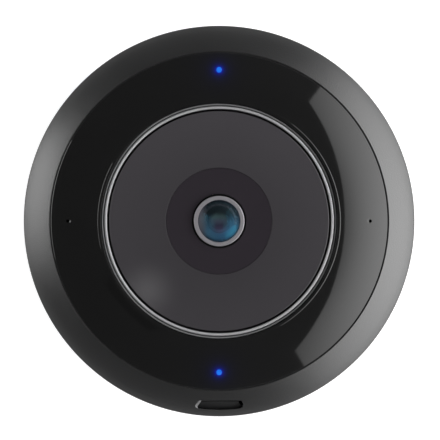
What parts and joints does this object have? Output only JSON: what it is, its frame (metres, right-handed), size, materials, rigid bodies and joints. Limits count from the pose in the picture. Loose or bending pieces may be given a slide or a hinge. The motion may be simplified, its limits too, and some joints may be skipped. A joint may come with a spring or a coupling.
{
  "type": "360 degree camera",
  "caption": "Low round ceiling camera with a domed fisheye lens, an infrared window ring, status lamps and a twist-lock mounting plate with a sprung release latch.",
  "frame": {"origin": "middle of the mounting plate's back face, which lies on the ceiling or on a table", "axes": "+Z out of the lens along the optical axis, +Y away from the release slot, +X to the right seen from the front"},
  "size_m": [0.14, 0.14, 0.0448],
  "materials": {
    "plate_steel": "satin",
    "base_paint": "matte",
    "bezel_satin": "satin",
    "gloss_black": "gloss",
    "trim_bright": "polished",
    "window_plum": "satin",
    "shroud_dark": "satin",
    "lens_metal": "satin",
    "lens_glass": "polished",
    "pane_glass": "polished",
    "inner_black": "matte",
    "rubber_black": "matte",
    "board_green": "satin",
    "chip_black": "matte",
    "copper_wire": "satin",
    "magnet_grey": "satin",
    "brass_gold": "polished",
    "screw_steel": "satin",
    "nylon_cream": "matte",
    "flex_amber": "satin",
    "emitter_clear": "gloss",
    "lamp_blue": "gloss",
    "pipe_blue": "gloss",
    "pad_blue": "matte",
    "can_metal": "satin",
    "jack_metal": "satin",
    "plunger_grey": "satin",
    "latch_black": "satin"
  },
  "bodies": {
    "mount": {"mounting_plate": "plate_steel"},
    "head": {"base_housing": "base_paint", "body_seal": "rubber_black", "front_bezel": "bezel_satin", "front_ring": "gloss_black", "trim_ring": "trim_bright", "ir_window": "window_plum", "lens_shroud": "shroud_dark", "lens_ring": "lens_metal", "lens_seal": "rubber_black", "front_glass": "lens_glass", "second_element": "lens_glass", "third_element": "lens_glass", "aperture_stop": "inner_black", "rear_element": "lens_glass", "rear_retainer": "inner_black", "lens_barrel": "inner_black", "lens_holder": "inner_black", "filter_box": "inner_black", "filter_coil": "copper_wire", "image_sensor": "chip_black", "sensor_board": "board_green", "sensor_standoffs": "brass_gold", "sensor_screws": "screw_steel", "sensor_connector": "nylon_cream", "front_chassis": "inner_black", "ir_board": "board_green", "ir_emitters": "emitter_clear", "ir_baffle": "rubber_black", "led_flex": "flex_amber", "indicator_board": "board_green", "status_lamps": "lamp_blue", "light_pipes": "pipe_blue", "microphones": "inner_black", "mic_gaskets": "rubber_black", "signal_flex": "flex_amber", "main_board": "board_green", "processor": "chip_black", "thermal_pad": "pad_blue", "memory_chips": "chip_black", "power_transformer": "magnet_grey", "inductors": "magnet_grey", "capacitors": "can_metal", "flex_sockets": "nylon_cream", "network_jack": "jack_metal", "jack_contacts": "brass_gold", "reset_switch": "chip_black", "latch_spring": "screw_steel", "board_screws": "screw_steel", "housing_screws": "screw_steel"},
    "latch": {"release_latch": "latch_black"},
    "reset": {"reset_plunger": "plunger_grey"},
    "filter": {"filter_slider": "inner_black", "cut_pane": "pane_glass", "clear_pane": "pane_glass"},
    "lever": {"filter_lever": "magnet_grey"}
  },
  "joints": [
    {"name": "mount_twist", "type": "hinge", "parent": "mount", "child": "head", "pos_m": [0, 0, 0], "axis": [0, 0, 1], "range_deg": [0, 24]},
    {"name": "release_press", "type": "slide", "parent": "head", "child": "latch", "axis": [0, 0, -1], "range_m": [0, 0.0022], "stiffness_N_per_m": 800, "springref_m": -0.002, "deforming": ["latch_spring"]},
    {"name": "reset_press", "type": "slide", "parent": "head", "child": "reset", "axis": [0, 0, 1], "range_m": [0, 0.0005], "stiffness_N_per_m": 1500, "springref_m": -0.0005},
    {"name": "filter_slide", "type": "slide", "parent": "head", "child": "filter", "axis": [1, 0, 0], "range_m": [0, 0.0086]},
    {"name": "filter_lever_turn", "type": "hinge", "parent": "head", "child": "lever", "pos_m": [0, -0.0125, 0.025], "axis": [0, 0, -1], "range_deg": [0, 77]}
  ],
  "couplings": [
    {"joint": "filter_lever_turn", "follows": "filter_slide", "rad_per_m": 153.83}
  ]
}
